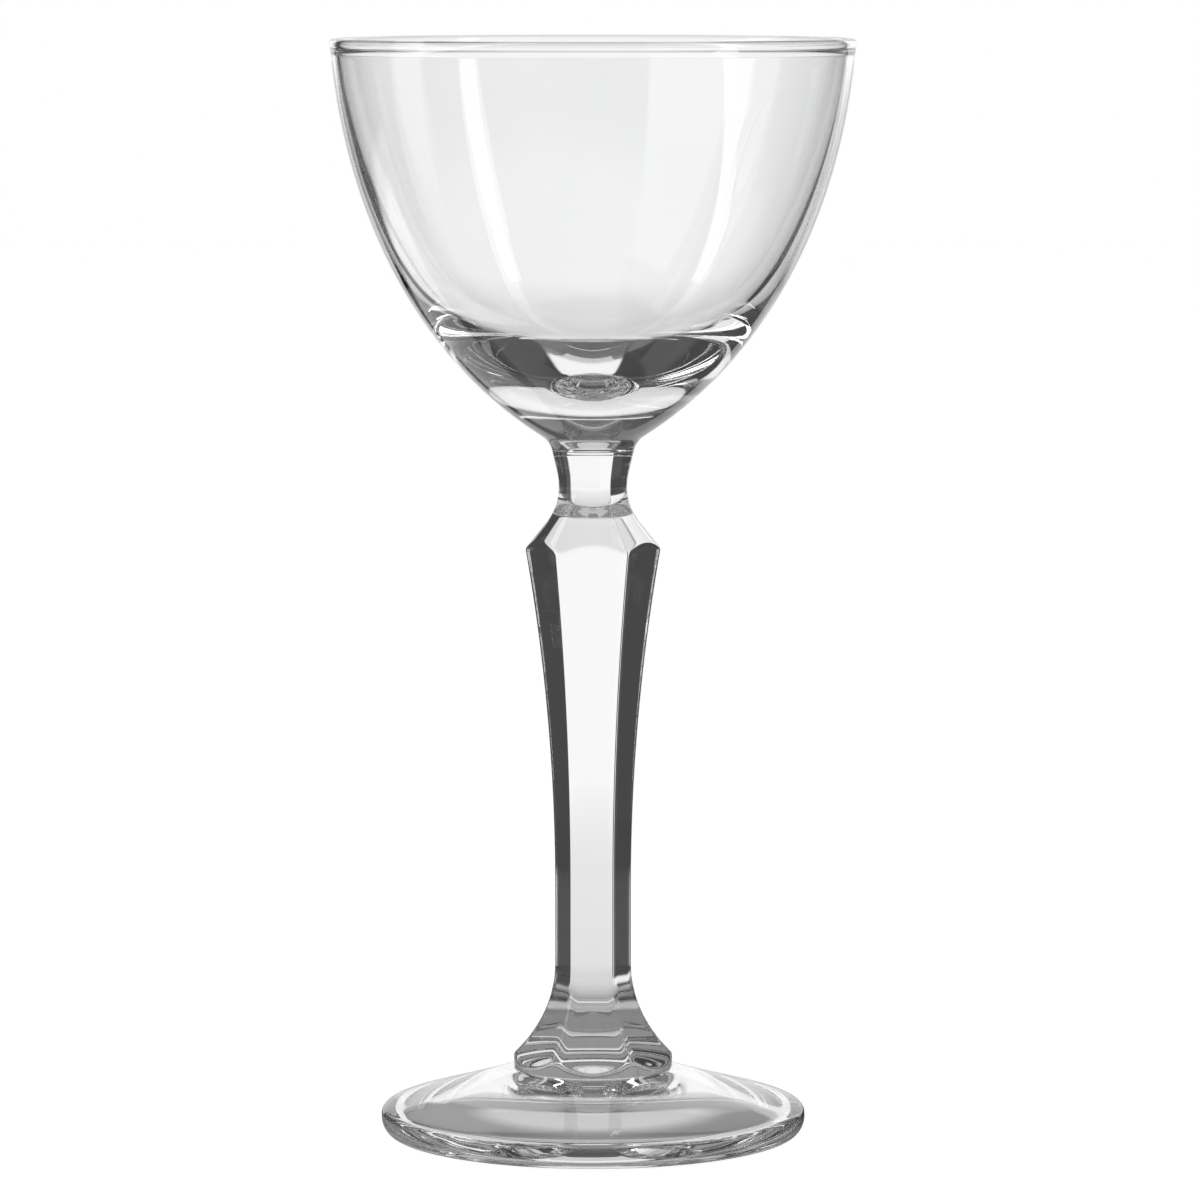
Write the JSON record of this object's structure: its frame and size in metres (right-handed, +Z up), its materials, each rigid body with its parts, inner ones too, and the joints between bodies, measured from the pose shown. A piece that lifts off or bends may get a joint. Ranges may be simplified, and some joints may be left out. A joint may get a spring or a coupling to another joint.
{
  "type": "nick and nora glass",
  "caption": "Small stemmed cocktail glass: deep thin-walled bowl with a heavy base, waisted neck, tapering faceted stem and a thick domed foot, fused together.",
  "frame": {"origin": "where the axis of the glass meets the table it stands on", "axes": "+Z up along the axis from the foot to the rim, -Y out of the middle of one flat of the stem, +X through a ridge between two flats"},
  "size_m": [0.0802, 0.0802, 0.168],
  "materials": {
    "clear_glass": "clear, fire-polished"
  },
  "bodies": {
    "root": {"foot": "clear_glass", "stem": "clear_glass", "bowl": "clear_glass"}
  },
  "joints": []
}
